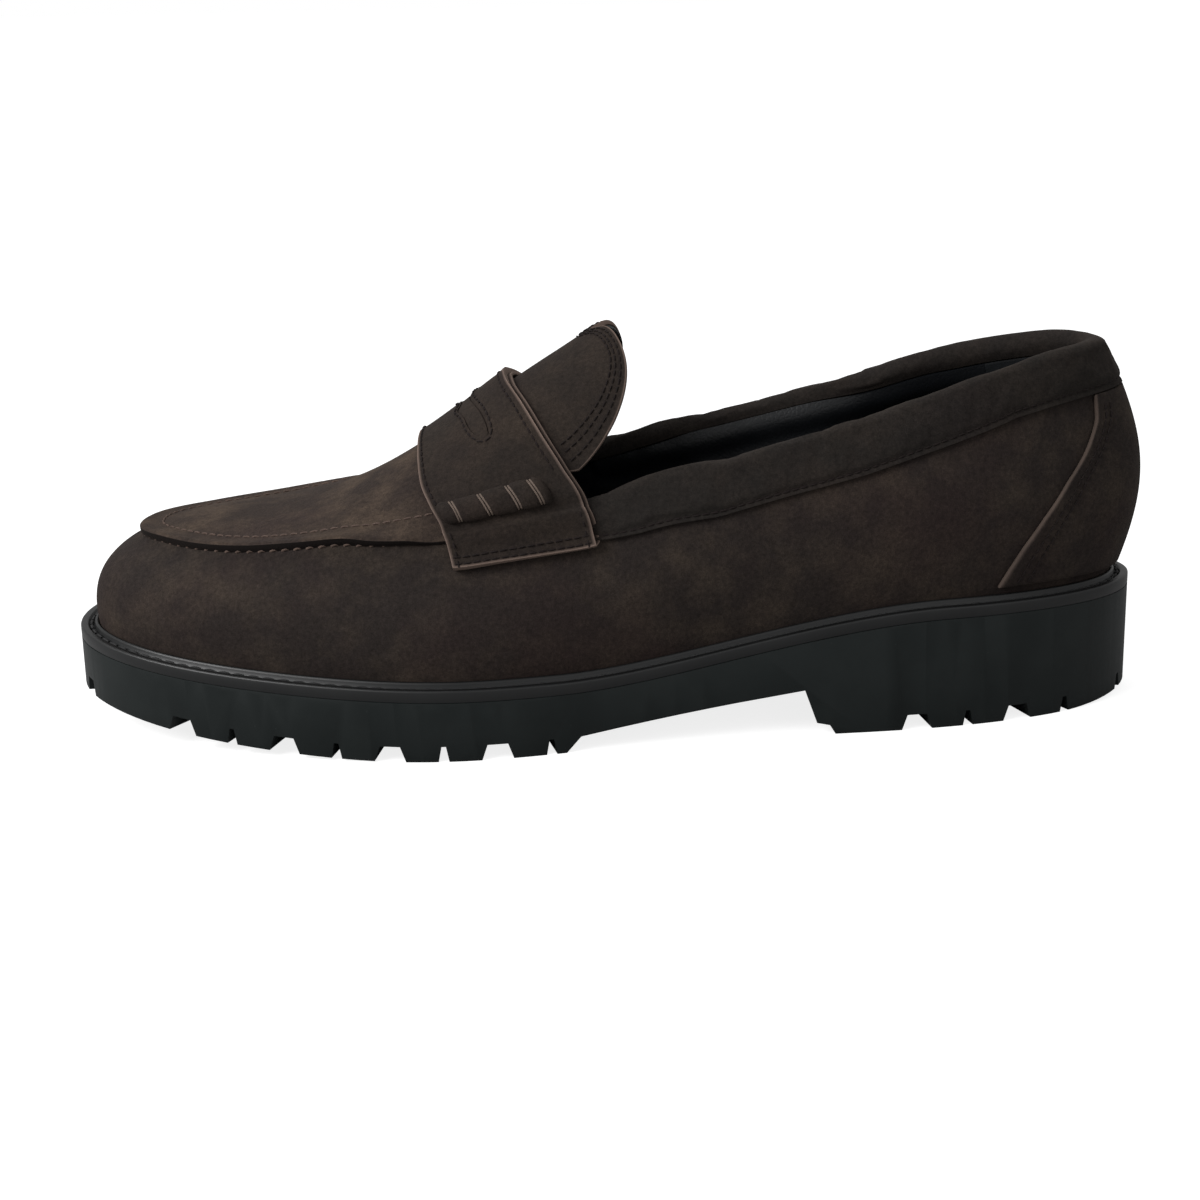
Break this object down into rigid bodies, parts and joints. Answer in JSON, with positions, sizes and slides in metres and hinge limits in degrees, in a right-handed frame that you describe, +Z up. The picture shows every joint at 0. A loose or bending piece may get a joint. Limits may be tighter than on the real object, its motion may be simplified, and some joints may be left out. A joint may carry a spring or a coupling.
{
  "type": "penny loafer",
  "caption": "Left penny loafer in dark nubuck: stitched apron, slotted saddle strap with beef rolls, padded collar, flexing tongue, storm welt and a chunky lugged rubber sole.",
  "frame": {"origin": "on the ground, under the middle of the shoe's overall length and width", "axes": "+X from heel to toe, +Y to the outer side of the left foot, +Z up"},
  "size_m": [0.3072, 0.1098, 0.1089],
  "materials": {
    "nubuck": "matte nubuck",
    "collar_nubuck": "matte nubuck, padded",
    "strap_nubuck": "matte nubuck with a paler raw edge",
    "lining_leather": "smooth, mild sheen",
    "heel_grip": "suede side out",
    "heel_pad": "smooth leather over foam",
    "sole_rubber": "satin",
    "welt_rubber": "satin",
    "welt_thread": "waxed",
    "thread": "matt",
    "apron_thread": "waxed",
    "roll_thread": "waxed",
    "shank_steel": "plain",
    "cork": "cork composite",
    "insole_board": "fibre board",
    "foam": "open-cell foam",
    "stiffener": "thermoplastic sheet",
    "interlining": "woven",
    "textile_lining": "woven",
    "strap_lining": "matte"
  },
  "bodies": {
    "shoe": {"outsole": "sole_rubber", "welt": "welt_rubber", "welt_thread": "welt_thread", "shank": "shank_steel", "cork_filler": "cork", "insole": "insole_board", "sock_liner": "lining_leather", "heel_pad": "heel_pad", "upper_wall": "nubuck", "back_cover": "nubuck", "back_cover_thread": "thread", "collar": "collar_nubuck", "collar_padding": "foam", "collar_thread": "thread", "apron": "nubuck", "apron_thread": "apron_thread", "apron_lining": "textile_lining", "saddle_strap": "strap_nubuck", "slot_backing": "strap_nubuck", "strap_lining": "strap_lining", "strap_thread": "thread", "beef_roll_outer": "strap_nubuck", "beef_roll_inner": "strap_nubuck", "beef_roll_thread": "roll_thread", "vamp_lining": "textile_lining", "quarter_lining_outer": "lining_leather", "quarter_lining_inner": "lining_leather", "heel_grip": "heel_grip", "heel_counter": "stiffener", "toe_puff": "stiffener", "side_interlining_outer": "interlining", "side_interlining_inner": "interlining"},
    "tongue": {"tongue": "strap_nubuck", "tongue_lining": "lining_leather", "tongue_thread": "thread"}
  },
  "joints": [
    {"name": "tongue_flex", "type": "hinge", "parent": "shoe", "child": "tongue", "pos_m": [0.02204, -0.00165, 0.09132], "axis": [0, 1, 0], "range_deg": [0, 20], "stiffness_Nm_per_rad": 0.15}
  ]
}
